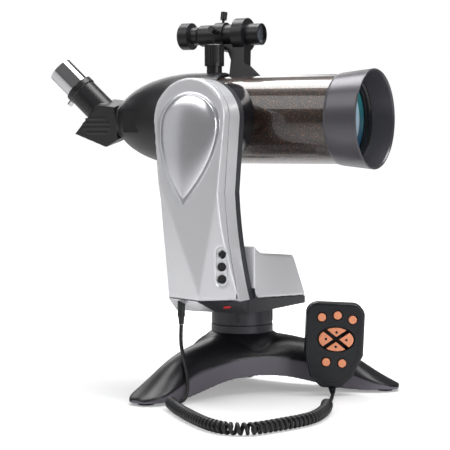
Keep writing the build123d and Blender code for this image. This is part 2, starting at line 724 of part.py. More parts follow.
export_step(diagonal.part, "parts/diagonal_housing.step")

with BuildPart() as prism:
    polygon(ROLLED.offset(-14), PRISM_OUTLINE, 28)
prism.part.label = "diagonal_prism"
export_step(prism.part, "parts/diagonal_prism.step")

with BuildPart() as thumbscrew:
    rod(Plane(origin=along_eyepiece(57).origin + SCREW_DIR * 16.2, z_dir=SCREW_DIR), 1.55, 5)
    rod(Plane(origin=along_eyepiece(57).origin + SCREW_DIR * 19.8, z_dir=SCREW_DIR), 3.6, 7)
thumbscrew.part.label = "eyepiece_thumbscrew"
export_step(thumbscrew.part, "parts/eyepiece_thumbscrew.step")

with BuildPart() as eyepiece:
    rod(along_eyepiece(26), BARREL_R, 36)
    rod(along_eyepiece(61.3), 16.5, 32.7)
    rod(along_eyepiece(20), 12.5, 68, mode=Mode.SUBTRACT)
    rod(along_eyepiece(87), 9, 10, mode=Mode.SUBTRACT)
eyepiece.part.label = "eyepiece"
export_step(eyepiece.part, "parts/eyepiece.step")

with BuildPart() as eyepiece_lens:
    rod(along_eyepiece(88.3), 9, 3.4)
    rod(along_eyepiece(82), 12.5, 5.7)
eyepiece_lens.part.label = "eyepiece_lenses"
export_step(eyepiece_lens.part, "parts/eyepiece_lenses.step")

# ---- finder, turned away from the arm so that it clears the knob ----
FINDER_SIN, FINDER_COS = sin(radians(FINDER_ROLL)), cos(radians(FINDER_ROLL))
FINDER_UP = Vector(0, FINDER_SIN, FINDER_COS)
FINDER_SPOT = Vector(0, 0, AXIS_Z) + FINDER_UP * FINDER_REACH
FINDER_AXIS = Axis(FINDER_SPOT, (1, 0, 0))
BRACKET_SIDE = Plane(origin=(0, 0, AXIS_Z), x_dir=(1, 0, 0), z_dir=(0, -FINDER_COS, FINDER_SIN))
FINDER_SIDE = Plane(origin=FINDER_SPOT, x_dir=(1, 0, 0), z_dir=BRACKET_SIDE.z_dir)
FINDER_OUTLINE = [
    (-95, 9.5),
    (-95, 15),
    (-93.5, 16.4),
    (-81, 16.4),
    (-79.5, 11),
    (-71, 11),
    (-67, 13),
    (15, 13),
    (15, 11.3),
    (-65, 11.3),
    (-69, 9.5),
]
with BuildPart() as finder_tube:
    turned(FINDER_SIDE, FINDER_AXIS, FINDER_OUTLINE)
finder_tube.part.label = "finder_tube"
export_step(finder_tube.part, "parts/finder_tube.step")

with BuildPart() as finder_lenses:
    rod(facing_x(8, FINDER_SPOT.Y, FINDER_SPOT.Z), 11.3, 3)
    rod(facing_x(-89, FINDER_SPOT.Y, FINDER_SPOT.Z), 9.5, 3)
finder_lenses.part.label = "finder_lenses"
export_step(finder_lenses.part, "parts/finder_lenses.step")

BRACKET_HALF = 9.0
BRACKET_OUTLINE = [
    (-19, 48),
    (17, 48),
    (17, 54),
    (-1, 69),
    (-3, 92),
    (-46, 92),
    (-46, 89.5),
    (-25, 84),
    (-19, 72),
]
FINDER_SCREW_X = -40.0
with BuildPart() as finder_bracket:
    polygon(BRACKET_SIDE.offset(-BRACKET_HALF), BRACKET_OUTLINE, 2 * BRACKET_HALF)
    rod(facing_x(-60), TUBE_R, 120, mode=Mode.SUBTRACT)
    rod(facing_x(-18, FINDER_SPOT.Y, FINDER_SPOT.Z), 20, 14.5)
    rod(facing_x(-46, FINDER_SPOT.Y, FINDER_SPOT.Z), 15.5, 13)
    rod(facing_x(-60, FINDER_SPOT.Y, FINDER_SPOT.Z), 13.1, 120, mode=Mode.SUBTRACT)
    rod(level(AXIS_Z + 60, FOCUS_X), KNOB_R + 0.6, 40, mode=Mode.SUBTRACT)
    for spin in (0, 90, -90):
        aim = Vector(0, sin(radians(spin + FINDER_ROLL)), cos(radians(spin + FINDER_ROLL)))
        screw_root = FINDER_SPOT + Vector(FINDER_SCREW_X, 0, 0)
        rod(Plane(origin=screw_root + aim * 14.5, z_dir=aim), 1.6, 6)
        rod(Plane(origin=screw_root + aim * 19.5, z_dir=aim), 4, 9.5)
finder_bracket.part.label = "finder_bracket"
export_step(finder_bracket.part, "parts/finder_bracket.step")


# ---- handset, hung on the right leg ----
LEAN_BACK = radians(2.5)
FACE_X = Vector(0.8788 * cos(LEAN_BACK), 0.4772 * cos(LEAN_BACK), -sin(LEAN_BACK))
FACE_OUT = Vector(0.4772, -0.8788, 0)
HANDSET = Plane(origin=(131.3, -15.2, 66.3), x_dir=FACE_X, z_dir=FACE_OUT)
HANDSET_T = 25.0
SPLIT_T = 11.0
KEY_R = 5.6
KEY_GAP = 0.35
ROUND_KEYS = {
    "key_top_left": (-17.6, 25.1),
    "key_top_middle": (0.5, 27.9),
    "key_top_right": (18.1, 23.6),
    "key_low_left": (-10.3, -26.9),
    "key_low_right": (8.3, -27.6),
}
ARROW_KEYS = {"key_up": 90, "key_left": 180, "key_down": 270, "key_right": 0}
PAD_HALF_X, PAD_HALF_Y = 21.6, 14.6


def handset_outline(plane, inset=0.0):
    """The handset from the front: square shoulders, sides that close in below, a rounded foot."""
    corners = [
        (-35.4, 41.8),
        (32.4, 41.8),
        (32.4, -18),
        (21, -44),
        (7, -56.8),
        (-15, -56.8),
        (-28, -44),
        (-35.4, -18),
    ]
    with BuildSketch(plane) as face:
        with BuildLine():
            Polyline(*corners, close=True)
        make_face()
        fillet(face.vertices().group_by(Axis.Y)[-1], 14)
        fillet(face.vertices().group_by(Axis.Y)[0], 8)
        if inset:
            offset(amount=-inset, kind=Kind.INTERSECTION)
    return face.sketch


boot_dir = FACE_OUT * 0.9 - Vector(0, 0, 0.436)
BOOT_START = Vector(121.9, -6, 11)
BOOT_END = BOOT_START + boot_dir * 14
with BuildPart() as handset_boot:
    with BuildSketch(Plane(origin=BOOT_START, z_dir=boot_dir)) as wide_end:
        Circle(5)
    with BuildSketch(Plane(origin=BOOT_END, z_dir=boot_dir)) as cord_end:
        Circle(3.2)
    loft([wide_end.sketch, cord_end.sketch])
handset_boot.part.label = "handset_boot"
export_step(handset_boot.part, "parts/handset_boot.step")


WEDGE = {0: 36.0, 90: 54.0}  # half angle of a sideways and of an up or down arrow key
WEDGE_START = 2.1


def arrow_face(plane, turn):
    """A quarter of the oval direction pad, between the two gaps that cross it."""
    with BuildSketch(plane) as face:
        Ellipse(PAD_HALF_X, PAD_HALF_Y)
        with BuildLine():
            first = radians(turn - WEDGE[turn % 180])
            second = radians(turn + WEDGE[turn % 180])
            tip_x = WEDGE_START * cos(radians(turn))
            tip_y = WEDGE_START * sin(radians(turn))
            Polyline(
                (tip_x, tip_y),
                (tip_x + 60 * cos(first), tip_y + 60 * sin(first)),
                (tip_x + 60 * cos(second), tip_y + 60 * sin(second)),
                close=True,
            )
        make_face(mode=Mode.INTERSECT)
    return face.sketch


with BuildPart() as handset_front:
    extrude(handset_outline(HANDSET), amount=-SPLIT_T)
    fillet(handset_front.faces().sort_by_distance(HANDSET.origin)[0].edges(), 3)
    extrude(handset_outline(HANDSET, 6.5), amount=-0.6, mode=Mode.SUBTRACT)
    extrude(handset_outline(HANDSET.offset(-5.5), 3), amount=-SPLIT_T, mode=Mode.SUBTRACT)
    for key_x, key_y in ROUND_KEYS.values():
        with BuildSketch(HANDSET):
            with Locations((key_x, key_y)):
                Circle(KEY_R + KEY_GAP)
        extrude(amount=-8, mode=Mode.SUBTRACT)
    with BuildSketch(HANDSET):
        Ellipse(PAD_HALF_X + KEY_GAP, PAD_HALF_Y + KEY_GAP)
    extrude(amount=-8, mode=Mode.SUBTRACT)
    add(handset_boot.part, mode=Mode.SUBTRACT)
handset_front.part.label = "handset_front"
export_step(handset_front.part, "parts/handset_front.step")

STRAP = Plane(
    origin=HANDSET.origin - FACE_OUT * (HANDSET_T - 1) + Vector(0, 0, 54.1 - HANDSET.origin.Z),
    x_dir=(0.8788, 0.4772, 0),
    z_dir=FACE_OUT * -1,
)
with BuildPart() as handset_back:
    extrude(handset_outline(HANDSET.offset(-SPLIT_T - 0.1)), amount=-(HANDSET_T - SPLIT_T - 0.1))
    back_face = handset_back.faces().sort_by_distance(HANDSET.offset(-HANDSET_T).origin)[0]
    fillet(back_face.edges(), 3)
    extrude(handset_outline(HANDSET.offset(-SPLIT_T), 3), amount=SPLIT_T + 3 - HANDSET_T, mode=Mode.SUBTRACT)
    block(STRAP, 10, 2.5, 49)
    with BuildSketch(STRAP.offset(46.5)):
        with Locations((0, 1.4)):
            Rectangle(10, 4)
    extrude(amount=2.5)
    add(handset_boot.part, mode=Mode.SUBTRACT)
handset_back.part.label = "handset_back"
export_step(handset_back.part, "parts/handset_back.step")

for key_name, (key_x, key_y) in ROUND_KEYS.items():
    with BuildPart() as key:
        with BuildSketch(HANDSET.offset(-4)):
            with Locations((key_x, key_y)):
                Circle(KEY_R)
        extrude(amount=5.6)
        fillet(key.faces().sort_by(Axis(HANDSET.origin, FACE_OUT))[-1].edges(), 0.8)
    key.part.label = key_name
    export_step(key.part, f"parts/{key_name}.step")

for key_name, turn in ARROW_KEYS.items():
    with BuildPart() as key:
        extrude(arrow_face(HANDSET.offset(-4), turn), amount=5.4)
    key.part.label = key_name
    export_step(key.part, f"parts/{key_name}.step")

# ---- cord: plug, straight lead, coil and tail ----
with BuildPart() as cord_plug:
    rod(level(95, SOCKET_X, SOCKET_Y), 4.3, 17)
    with BuildSketch(level(95, SOCKET_X, SOCKET_Y)) as plug_end:
        Circle(3.6)
    with BuildSketch(level(86, SOCKET_X, SOCKET_Y)) as lead_end:
        Circle(2.8)
    loft([lead_end.sketch, plug_end.sketch])
cord_plug.part.label = "cord_plug"
export_step(cord_plug.part, "parts/cord_plug.step")


def cord(points, diameter):
    """A round cord along straight runs joined by tangent arcs; prints its arc radii and its volume check."""
    stops = [Vector(*point) for point in points]
    radii = []
    for before, here, after in zip(stops, stops[1:], stops[2:]):
        first, second = here - before, after - here
        turn = acos(first.normalized().dot(second.normalized()))
        radii.append(0.45 * min(first.length, second.length) / tan(turn / 2))
    with BuildLine() as route:
        FilletPolyline(*stops, radius=radii)
    with BuildSketch(Plane(origin=stops[0], z_dir=stops[1] - stops[0])) as face:
        Circle(diameter / 2)
    sweep(face.sketch, path=route.wire())
    length = route.wire().length
    print("cord radii", [round(radius, 1) for radius in radii], "length", round(length, 1))
    return length * 3.14159265 * diameter**2 / 4


LEAD_POINTS = [
    (-18, -115, 85.6),
    (-18, -117.5, 66),
    (-10, -124, 50),
    (3, -136, 27),
    (4, -141, 7),
    (3, -154, 2.6),
    (3, -167, 4),
    (5, -181, 8),
]
COIL_POINTS = [
    (5, -181, 8),
    (24, -203, 7.2),
    (52, -231, 7.1),
    (84, -260, 7.1),
    (112, -282, 7.1),
    (138, -293, 7.1),
    (159, -285, 7.1),
    (169, -261, 7.1),
    (180, -229, 7.1),
    (187, -195, 7.1),
    (181, -158, 7.1),
    (172, -128, 7.1),
    (160, -102, 7.2),
]
TAIL_POINTS = [
    tuple(BOOT_END),
    (130.1, -21.3, 2.8),
    (133.6, -30.7, 2.6),
    (141.5, -49, 2.6),
    (150.5, -78, 3),
    (160, -102, 7.2),
]
with BuildPart() as cord_lead:
    expected = cord(LEAD_POINTS, CORD_D)
cord_lead.part.label = "cord_lead"
export_step(cord_lead.part, "parts/cord_lead.step")
print("lead volume", round(cord_lead.part.volume), "section x length", round(expected))

with BuildPart() as cord_coil:
    expected = cord(COIL_POINTS, COIL_D)
cord_coil.part.label = "cord_coil"
export_step(cord_coil.part, "parts/cord_coil.step")
print("coil volume", round(cord_coil.part.volume), "section x length", round(expected))

with BuildPart() as cord_tail:
    expected = cord(TAIL_POINTS, CORD_D)
cord_tail.part.label = "cord_tail"
export_step(cord_tail.part, "parts/cord_tail.step")
print("tail volume", round(cord_tail.part.volume), "section x length", round(expected))
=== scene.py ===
"""Looks of the tabletop telescope: painted and moulded finishes, glass, keys and the curly cord."""

import json
import math

import bpy
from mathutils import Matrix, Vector

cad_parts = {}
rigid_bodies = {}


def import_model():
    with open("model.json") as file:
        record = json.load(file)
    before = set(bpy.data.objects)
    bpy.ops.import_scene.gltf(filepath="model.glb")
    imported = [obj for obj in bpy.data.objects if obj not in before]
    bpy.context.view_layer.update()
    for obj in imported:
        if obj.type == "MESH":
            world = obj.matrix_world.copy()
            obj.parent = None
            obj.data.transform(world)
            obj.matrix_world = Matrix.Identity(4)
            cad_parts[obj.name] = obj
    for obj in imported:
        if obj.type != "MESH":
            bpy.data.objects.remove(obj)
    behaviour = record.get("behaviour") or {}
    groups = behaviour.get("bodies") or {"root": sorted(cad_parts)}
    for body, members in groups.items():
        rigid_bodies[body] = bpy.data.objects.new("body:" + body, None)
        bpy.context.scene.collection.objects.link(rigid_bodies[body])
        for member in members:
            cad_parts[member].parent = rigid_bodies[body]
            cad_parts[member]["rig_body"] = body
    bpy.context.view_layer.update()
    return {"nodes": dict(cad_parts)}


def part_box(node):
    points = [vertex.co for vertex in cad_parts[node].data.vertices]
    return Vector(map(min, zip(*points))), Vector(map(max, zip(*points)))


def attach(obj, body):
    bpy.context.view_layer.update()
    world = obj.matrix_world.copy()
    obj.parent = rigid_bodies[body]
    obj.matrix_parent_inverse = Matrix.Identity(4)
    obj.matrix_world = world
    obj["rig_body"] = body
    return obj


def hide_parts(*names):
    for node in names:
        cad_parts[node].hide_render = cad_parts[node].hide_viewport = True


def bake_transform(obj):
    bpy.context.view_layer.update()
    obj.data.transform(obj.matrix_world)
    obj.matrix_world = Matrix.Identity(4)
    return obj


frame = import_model()
nodes = frame["nodes"]
scene = bpy.context.scene
MM = 0.001
TUBE_AXIS_Z = 321 * MM
WELD = 0.01 * MM

# ---- camera ----
VIEW_TURN = math.radians(28.5)
VIEW_TILT = math.radians(3.04)
VIEW_PLACE = (0.898, -1.697, 0.297)
camera_data = bpy.data.cameras.new("camera")
camera_data.lens = 128
camera_data.sensor_width = 36
camera = bpy.data.objects.new("camera", camera_data)
camera.location = VIEW_PLACE
camera.rotation_euler = (math.radians(90) - VIEW_TILT, 0, VIEW_TURN)
scene.collection.objects.link(camera)
scene.camera = camera
scene.view_settings.view_transform = "Standard"

# ---- cord: straight lead, coiled middle, straight tail ----
CORD_D = 4.5 * MM
COIL_MEAN_R = 4.75 * MM
COIL_PITCH = 7.0 * MM
TURN_POINTS = 12
ROUTE_STEPS = 12
CORD_STEPS = 4
LEAD_POINTS = [
    (-0.018, -0.115, 0.0856),
    (-0.018, -0.1175, 0.066),
    (-0.010, -0.124, 0.050),
    (0.003, -0.136, 0.027),
    (0.004, -0.141, 0.007),
    (0.003, -0.154, 0.0026),
    (0.003, -0.167, 0.004),
    (0.005, -0.181, 0.008),
]
COIL_POINTS = [
    (0.005, -0.181, 0.008),
    (0.024, -0.203, 0.0072),
    (0.052, -0.231, 0.0071),
    (0.084, -0.260, 0.0071),
    (0.112, -0.282, 0.0071),
    (0.138, -0.293, 0.0071),
    (0.159, -0.285, 0.0071),
    (0.169, -0.261, 0.0071),
    (0.180, -0.229, 0.0071),
    (0.187, -0.195, 0.0071),
    (0.181, -0.158, 0.0071),
    (0.172, -0.128, 0.0071),
    (0.160, -0.102, 0.0072),
]
TAIL_POINTS = [
    (0.160, -0.102, 0.0072),
    (0.1505, -0.078, 0.003),
    (0.1415, -0.049, 0.0026),
    (0.1336, -0.0307, 0.0026),
    (0.1301, -0.0213, 0.0028),
    (0.12791, -0.01707, 0.004896),
]


def nurbs_curve(name, points, resolution):
    """An open NURBS curve with these control points."""
    data = bpy.data.curves.new(name, "CURVE")
    data.dimensions = "3D"
    data.resolution_u = resolution
    line = data.splines.new("NURBS")
    line.points.add(len(points) - 1)
    for slot, point in zip(line.points, points):
        slot.co = (*point, 1)
    line.order_u = 3
    line.use_endpoint_u = True
    curve = bpy.data.objects.new(name, data)
    scene.collection.objects.link(curve)
    return curve


def points_along(curve):
    """The points of a curve's own line, in order."""
    bpy.context.view_layer.update()
    line = bpy.data.meshes.new_from_object(curve)
    found = [vertex.co.copy() for vertex in line.vertices]
    bpy.data.meshes.remove(line)
    return found


def helix_around(route):
    """Points that wind round a route, tight in the middle and closing onto it at both ends."""
    reach = [0.0]
    for here, after in zip(route, route[1:]):
        reach.append(reach[-1] + (after - here).length)
    turns = round(reach[-1] / COIL_PITCH)
    total = turns * TURN_POINTS
    side = Vector((0, 0, 1)).cross(route[1] - route[0]).normalized()
    found = []
    index = 0
    for step in range(1, total):
        at = reach[-1] * step / total
        while reach[index + 1] < at:
            index += 1
        part = (at - reach[index]) / (reach[index + 1] - reach[index])
        middle = route[index].lerp(route[index + 1], part)
        along = (route[index + 1] - route[index]).normalized()
        side = (side - along * side.dot(along)).normalized()
        up = along.cross(side)
        spin = 2 * math.pi * step / TURN_POINTS
        closing = min(1, step / TURN_POINTS, (total - step) / TURN_POINTS)
        swing = side * math.cos(spin) + up * math.sin(spin)
        found.append(middle + swing * COIL_MEAN_R * closing)
    return found


coil_route = nurbs_curve("coil_route", COIL_POINTS, ROUTE_STEPS)
coil_turns = helix_around(points_along(coil_route))
bpy.data.objects.remove(coil_route)
cord = nurbs_curve("handset_cord", LEAD_POINTS[:-1] + coil_turns + TAIL_POINTS[1:], CORD_STEPS)
cord_path = points_along(cord)
cord.data.bevel_depth = CORD_D / 2
cord.data.bevel_resolution = 2
cord.data.use_fill_caps = True


# ---- helpers for pieces ----
def choose(piece):
    """Leaves only this piece selected and active."""
    bpy.ops.object.select_all(action="DESELECT")
    piece.select_set(True)
    bpy.context.view_layer.objects.active = piece


def apply_modifier(piece, kind, **settings):
    """Adds a modifier with these settings and applies it."""
    choose(piece)
    modifier = piece.modifiers.new(kind.lower(), kind)
    for name, value in settings.items():
        setattr(modifier, name, value)
    bpy.ops.object.modifier_apply(modifier=modifier.name)


def finish_shape(piece, angle=40):
    """Writes the piece's place into its mesh and shades it."""
    choose(piece)
    bpy.ops.object.transform_apply(location=True, rotation=True, scale=True)
    bpy.ops.object.shade_smooth_by_angle(angle=math.radians(angle))


def copy_of(node, name):
    """A bare copy of a node's mesh, in its place, as its own piece."""
    mesh = nodes[node].data.copy()
    mesh.materials.clear()
    piece = bpy.data.objects.new(name, mesh)
    scene.collection.objects.link(piece)
    choose(piece)
    return piece


def weld(piece):
    """Edit mode with everything selected and the vertices that coincide merged."""
    choose(piece)
    bpy.ops.object.mode_set(mode="EDIT")
    bpy.ops.mesh.select_all(action="SELECT")
    bpy.ops.mesh.remove_doubles(threshold=WELD)


def moulded_skin(node, body, grain, rounds):
    """A moulding with the worked solid's shape and softened edges, in its place."""
    skin = copy_of(node, node + "_skin")
    weld(skin)
    bpy.ops.object.mode_set(mode="OBJECT")
    apply_modifier(skin, "REMESH", mode="VOXEL", voxel_size=grain)
    apply_modifier(skin, "SMOOTH", factor=0.5, iterations=rounds)
    choose(skin)
    bpy.ops.object.shade_smooth()
    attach(skin, body)
    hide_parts(node)
    return skin


choose(cord)
bpy.ops.object.convert(target="MESH")
cord = bpy.context.view_layer.objects.active
bpy.ops.object.shade_smooth()

arm_skin = moulded_skin("arm_outer_cover", "head", 1.3 * MM, 14)
base_skin = moulded_skin("base_cover", "head", 1.3 * MM, 5)
diagonal_skin = moulded_skin("diagonal_housing", "diagonal", 0.8 * MM, 3)
tripod_skin = moulded_skin("tripod_body", "tripod", 1.5 * MM, 4)

# ---- drive cover: a domed teardrop in its bezel ----
DOME_HALF_WIDTH = 36 * MM
DOME_MIDDLE = (1.6 * MM, -130.0 * MM, 312.4 * MM)
DOME_DROP = 82 * MM
DOME_TIP_SHIFT = -5.2 * MM
DOME_BULGE = 6.6 * MM
DOME_PROUD = 1.0 * MM
BEZEL_GROWTH = 1.09
BEZEL_BULGE = 2.6 * MM
BACK_DEPTH = 0.1
ROW_GAP = 0.0005
FACE_LEAN = 0.0538


def pick(piece, chosen):
    """Edit mode with only the vertices that pass the test selected."""
    choose(piece)
    bpy.ops.object.mode_set(mode="EDIT")
    bpy.ops.mesh.select_mode(type="VERT")
    bpy.ops.mesh.select_all(action="DESELECT")
    bpy.ops.object.mode_set(mode="OBJECT")
    for vertex in piece.data.vertices:
        vertex.select = chosen(vertex.co)
    bpy.ops.object.mode_set(mode="EDIT")


def teardrop_dome(name, growth, bulge, stand_off):
    """A domed teardrop: a ball flattened in depth, its lower rows drawn down to a point."""
    bpy.ops.object.select_all(action="DESELECT")
    bpy.ops.mesh.primitive_uv_sphere_add(segments=72, ring_count=48, radius=1)
    piece = bpy.context.view_layer.objects.active
    piece.name = name
    width = DOME_HALF_WIDTH * growth
    heights = sorted({round(vertex.co.z, 5) for vertex in piece.data.vertices if vertex.co.z < -0.001})
    for height in heights[1:]:
        pick(piece, lambda co: abs(co.z - height) < ROW_GAP)
        narrow = math.sqrt(1 - height**2)
        bpy.ops.transform.resize(value=(narrow, narrow, 1), center_override=(0, 0, height))
        bpy.ops.object.mode_set(mode="OBJECT")
    pick(piece, lambda co: co.y > 0.0001)
    bpy.ops.transform.resize(value=(1, BACK_DEPTH, 1), center_override=(0, 0, 0))
    bpy.ops.object.mode_set(mode="OBJECT")
    pick(piece, lambda co: co.z < 0)
    bpy.ops.transform.resize(value=(1, 1, DOME_DROP / DOME_HALF_WIDTH), center_override=(0, 0, 0))
    bpy.ops.object.mode_set(mode="OBJECT")
    piece.scale = (width, bulge, width)
    choose(piece)
    bpy.ops.object.transform_apply(location=False, rotation=False, scale=True)
    for vertex in piece.data.vertices:
        down = min(0, vertex.co.z)
        vertex.co.x += DOME_TIP_SHIFT * -down / DOME_DROP
        vertex.co.y += FACE_LEAN * (vertex.co.z + DOME_MIDDLE[2] - TUBE_AXIS_Z) - stand_off
    piece.location = DOME_MIDDLE
    finish_shape(piece, 60)
    return piece


dome = teardrop_dome("drive_cover_dome", 1.0, DOME_BULGE, DOME_PROUD)
bezel = teardrop_dome("drive_cover_bezel", BEZEL_GROWTH, BEZEL_BULGE, 0.0)
choose(dome)
bezel.select_set(True)
bpy.ops.object.join()
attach(dome, "head")
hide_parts("altitude_drive_cover")

# ---- handset keys ----
KEY_OUT = Vector((0.4772, -0.8788, 0.0)).normalized()
KEY_SHRINK = 0.84
KEY_LIFT = 0.4 * MM
KEY_ROUND = 0.5 * MM
DOT_R = 1.5 * MM
DOT_HEIGHT = 0.8 * MM
DOT_ROUND = 0.2 * MM
DOTTED_KEYS = ("key_up", "key_down", "key_left", "key_right")
caps = []
dots = []


def soft_key(node, dotted):
    """A rubber key cap, a little smaller than its opening; the four direction keys carry a raised dot."""
    cap = copy_of(node, node + "_cap")
    low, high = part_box(node)
    middle = (low + high) / 2
    weld(cap)
    bpy.ops.transform.resize(value=(KEY_SHRINK, KEY_SHRINK, KEY_SHRINK), center_override=middle)
    bpy.ops.transform.translate(value=KEY_OUT * KEY_LIFT)
    bpy.ops.object.mode_set(mode="OBJECT")
    apply_modifier(cap, "BEVEL", width=KEY_ROUND, segments=3)
    bpy.ops.object.shade_smooth_by_angle(angle=math.radians(35))
    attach(cap, nodes[node]["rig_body"])
    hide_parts(node)
    caps.append(cap)
    if dotted:
        depth = max(vertex.co.dot(KEY_OUT) for vertex in cap.data.vertices)
        place = middle + KEY_OUT * (depth - middle.dot(KEY_OUT))
        bpy.ops.object.select_all(action="DESELECT")
        bpy.ops.mesh.primitive_cylinder_add(vertices=32, radius=DOT_R, depth=DOT_HEIGHT, location=place)
        dot = bpy.context.view_layer.objects.active
        dot.name = node + "_dot"
        dot.rotation_euler = KEY_OUT.to_track_quat("Z", "Y").to_euler()
        apply_modifier(dot, "BEVEL", width=DOT_ROUND, segments=2)
        finish_shape(dot)
        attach(dot, nodes[node]["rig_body"])
        dots.append(dot)


for node in sorted(nodes):
    if node.startswith("key_"):
        soft_key(node, node in DOTTED_KEYS)

# ---- jack panel, just proud of the arm ----
JACK_OUT = Vector((0.541, -0.840, -0.044))
JACK_LIFT = 0.5 * MM
JACK_GAP = 14 * MM
# Radius of the black disc painted over each jack: its dark socket ring and painted shade for its hole.
JACK_R = 5.3 * MM
jacks = copy_of("jack_panel", "jack_plate")
bpy.ops.transform.translate(value=JACK_OUT * JACK_LIFT)
finish_shape(jacks)
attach(jacks, "head")
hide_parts("jack_panel")
low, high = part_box("jack_panel")
jack_centres = [(low + high) / 2 + Vector((0, 0, JACK_GAP * step)) for step in (-1, 0, 1)]


# ---- material building blocks ----
MIX_FIRST, MIX_SECOND, MIX_RESULT = 6, 7, 2


def group_of(name, inputs, outputs):
    """An empty node group with number, colour and vector sockets."""
    group = bpy.data.node_groups.new(name, "ShaderNodeTree")
    for socket_name, kind, value in inputs:
        socket = group.interface.new_socket(socket_name, in_out="INPUT", socket_type=kind)
        if value is not None:
            socket.default_value = value
    for socket_name, kind in outputs:
        group.interface.new_socket(socket_name, in_out="OUTPUT", socket_type=kind)
    return group


def add_node(tree, kind, **values):
    """A shader node with these sockets and settings."""
    node = tree.nodes.new(kind)
    for name, value in values.items():
        if name in node.inputs:
            node.inputs[name].default_value = value
        else:
            setattr(node, name, value)
    return node


def colour_mix(tree, factor):
    """A mix of two colours, led by this socket."""
    mix = tree.nodes.new("ShaderNodeMix")
    mix.data_type = "RGBA"
    tree.links.new(factor, mix.inputs["Factor"])
    return mix


def moulding_group():
    """Fine grain, slow shade drift and faint smears of any moulded or painted surface."""
    group = group_of(
        "moulding",
        [
            ("Color", "NodeSocketColor", (0.5, 0.5, 0.5, 1)),
            ("Drift", "NodeSocketFloat", 0.1),
            ("Roughness", "NodeSocketFloat", 0.4),
            ("Smear", "NodeSocketFloat", 0.1),
            ("Grain Size", "NodeSocketFloat", 2500.0),
            ("Grain Depth", "NodeSocketFloat", 0.1),
        ],
        [("Color", "NodeSocketColor"), ("Roughness", "NodeSocketFloat"), ("Normal", "NodeSocketVector")],
    )
    tree, link = group, group.links.new
    given = tree.nodes.new("NodeGroupInput")
    result = tree.nodes.new("NodeGroupOutput")
    place = tree.nodes.new("ShaderNodeTexCoord")
    slow = add_node(tree, "ShaderNodeTexNoise", Scale=14.0, Detail=3.0)
    smears = add_node(tree, "ShaderNodeTexNoise", Scale=60.0, Detail=5.0, Roughness=0.7)
    grain = add_node(tree, "ShaderNodeTexNoise", Detail=2.0)
    link(place.outputs["Object"], slow.inputs["Vector"])
    link(place.outputs["Object"], smears.inputs["Vector"])
    link(place.outputs["Object"], grain.inputs["Vector"])
    link(given.outputs["Grain Size"], grain.inputs["Scale"])
    shade = add_node(tree, "ShaderNodeMath", operation="SUBTRACT")
    shade.inputs[1].default_value = 0.5
    link(slow.outputs["Fac"], shade.inputs[0])
    drift = add_node(tree, "ShaderNodeMath", operation="MULTIPLY_ADD")
    drift.inputs[2].default_value = 1.0
    link(shade.outputs[0], drift.inputs[0])
    link(given.outputs["Drift"], drift.inputs[1])
    tint = add_node(tree, "ShaderNodeHueSaturation")
    link(given.outputs["Color"], tint.inputs["Color"])
    link(drift.outputs[0], tint.inputs["Value"])
    spread = add_node(tree, "ShaderNodeMath", operation="SUBTRACT")
    spread.inputs[1].default_value = 0.5
    link(smears.outputs["Fac"], spread.inputs[0])
    rough = add_node(tree, "ShaderNodeMath", operation="MULTIPLY_ADD")
    link(spread.outputs[0], rough.inputs[0])
    link(given.outputs["Smear"], rough.inputs[1])
    link(given.outputs["Roughness"], rough.inputs[2])
    bump = add_node(tree, "ShaderNodeBump", Distance=0.0001)
    link(grain.outputs["Fac"], bump.inputs["Height"])
    link(given.outputs["Grain Depth"], bump.inputs["Strength"])
    link(tint.outputs["Color"], result.inputs["Color"])
    link(rough.outputs[0], result.inputs["Roughness"])
    link(bump.outputs["Normal"], result.inputs["Normal"])
    return group


def flake_group():
    """Metal flakes in enamel: a mask of small bright cells, and the colour of each."""
    group = group_of(
        "flakes",
        [("Size", "NodeSocketFloat", 900.0), ("Amount", "NodeSocketFloat", 0.4)],
        [("Mask", "NodeSocketFloat"), ("Sparkle", "NodeSocketColor")],
    )
    tree, link = group, group.links.new
    given = tree.nodes.new("NodeGroupInput")
    result = tree.nodes.new("NodeGroupOutput")
    place = tree.nodes.new("ShaderNodeTexCoord")
    cells = add_node(tree, "ShaderNodeTexVoronoi", feature="F1")
    link(place.outputs["Object"], cells.inputs["Vector"])
    link(given.outputs["Size"], cells.inputs["Scale"])
    parts = tree.nodes.new("ShaderNodeSeparateColor")
    link(cells.outputs["Color"], parts.inputs["Color"])
    chosen = add_node(tree, "ShaderNodeMath", operation="LESS_THAN")
    link(parts.outputs["Red"], chosen.inputs[0])
    link(given.outputs["Amount"], chosen.inputs[1])
    bright = add_node(tree, "ShaderNodeMath", operation="POWER")
    bright.inputs[1].default_value = 2.0
    link(parts.outputs["Green"], bright.inputs[0])
    mask = add_node(tree, "ShaderNodeMath", operation="MULTIPLY")
    link(chosen.outputs[0], mask.inputs[0])
    link(bright.outputs[0], mask.inputs[1])
    colours = tree.nodes.new("ShaderNodeValToRGB")
    colours.color_ramp.elements[0].color = (0.09, 0.032, 0.016, 1)
    colours.color_ramp.elements[1].color = (0.50, 0.26, 0.14, 1)
    link(parts.outputs["Blue"], colours.inputs["Fac"])
    link(mask.outputs[0], result.inputs["Mask"])
    link(colours.outputs["Color"], result.inputs["Sparkle"])
    return group


MOULDING = moulding_group()
FLAKES = flake_group()


def new_material(name):
    """A new material, its node tree and its shader."""
    material = bpy.data.materials.new(name)
    material.use_nodes = True
    return material, material.node_tree, material.node_tree.nodes["Principled BSDF"]


